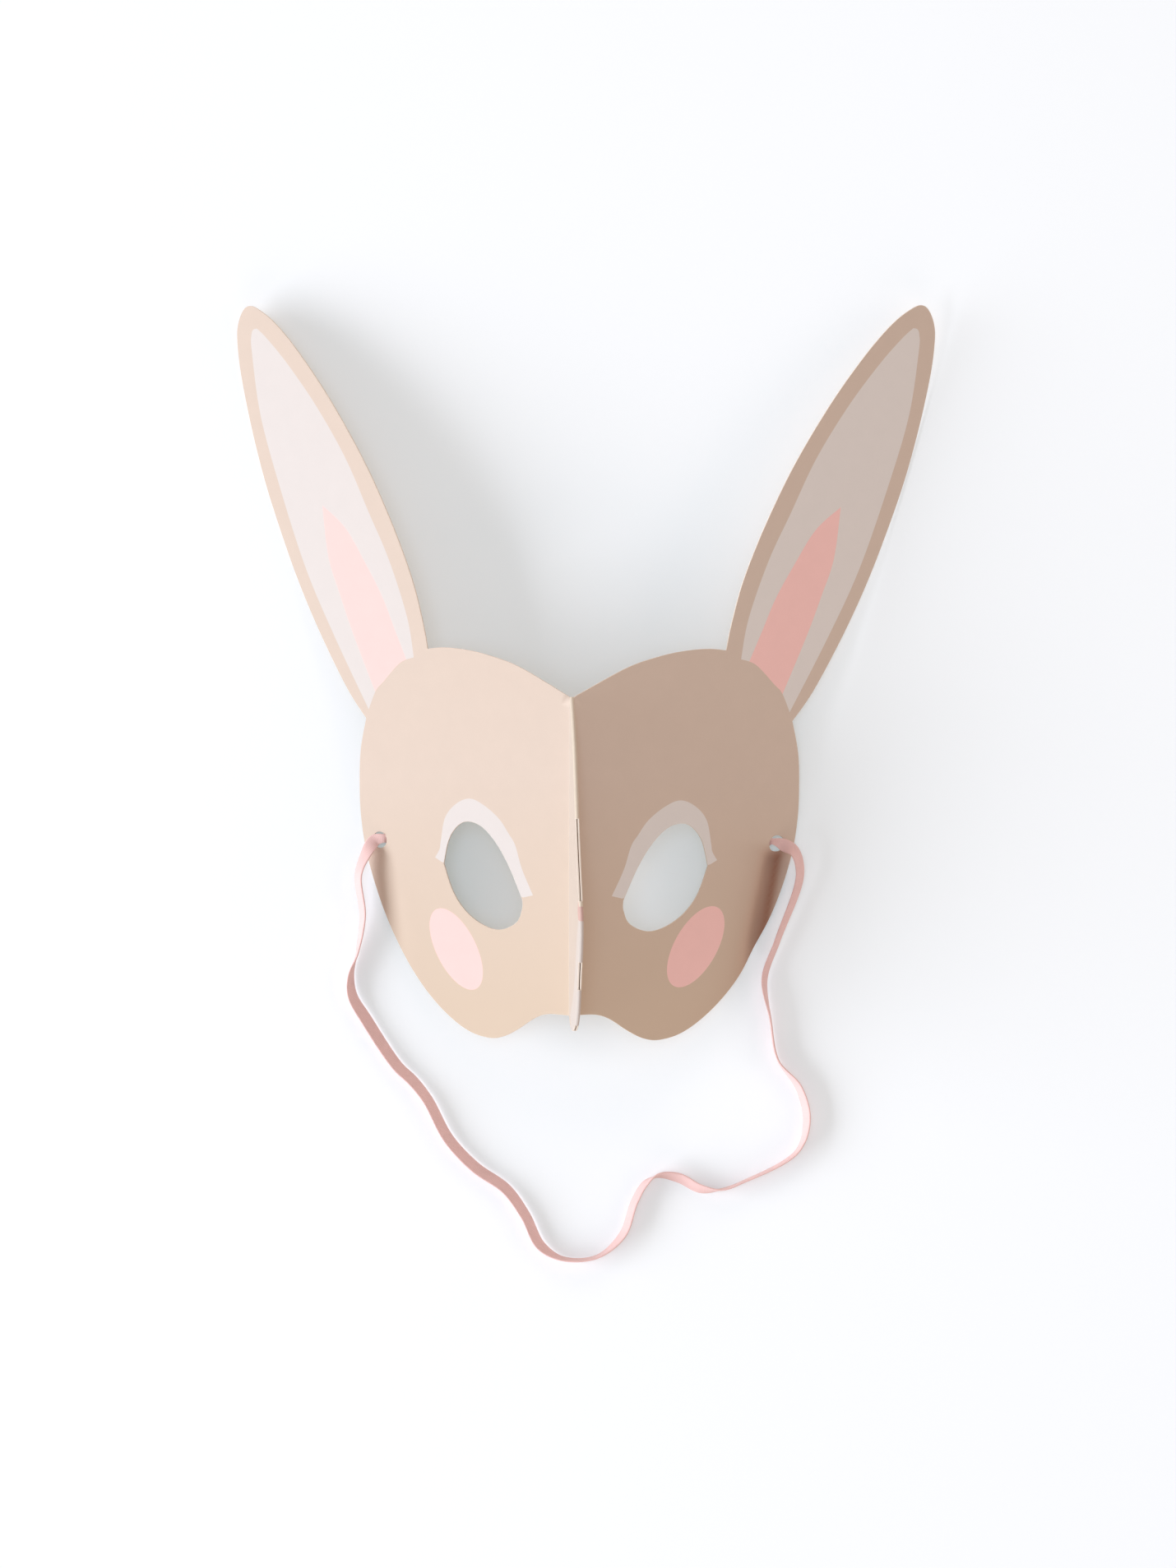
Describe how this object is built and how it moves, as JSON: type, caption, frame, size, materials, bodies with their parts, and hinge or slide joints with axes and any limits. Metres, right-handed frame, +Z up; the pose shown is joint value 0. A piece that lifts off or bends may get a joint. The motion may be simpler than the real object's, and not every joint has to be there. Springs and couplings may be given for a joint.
{
  "type": "rabbit mask",
  "caption": "Folded card half mask of a rabbit's face with long ears, a standing folded nose, eye holes and a flat elastic strap knotted behind punched holes.",
  "frame": {"origin": "on the surface that the mask lies on, under the middle of the card's box", "axes": "+Z up out of the printed side, +Y from the chin to the ears, +X to the viewer's right"},
  "size_m": [0.2588, 0.3514, 0.0535],
  "materials": {
    "printed_card": "matt pale beige print on white card",
    "elastic": "soft pink flat woven elastic"
  },
  "bodies": {
    "root": {"mask_card": "printed_card", "elastic_band": "elastic", "elastic_knot_left": "elastic", "elastic_knot_right": "elastic"}
  },
  "joints": []
}
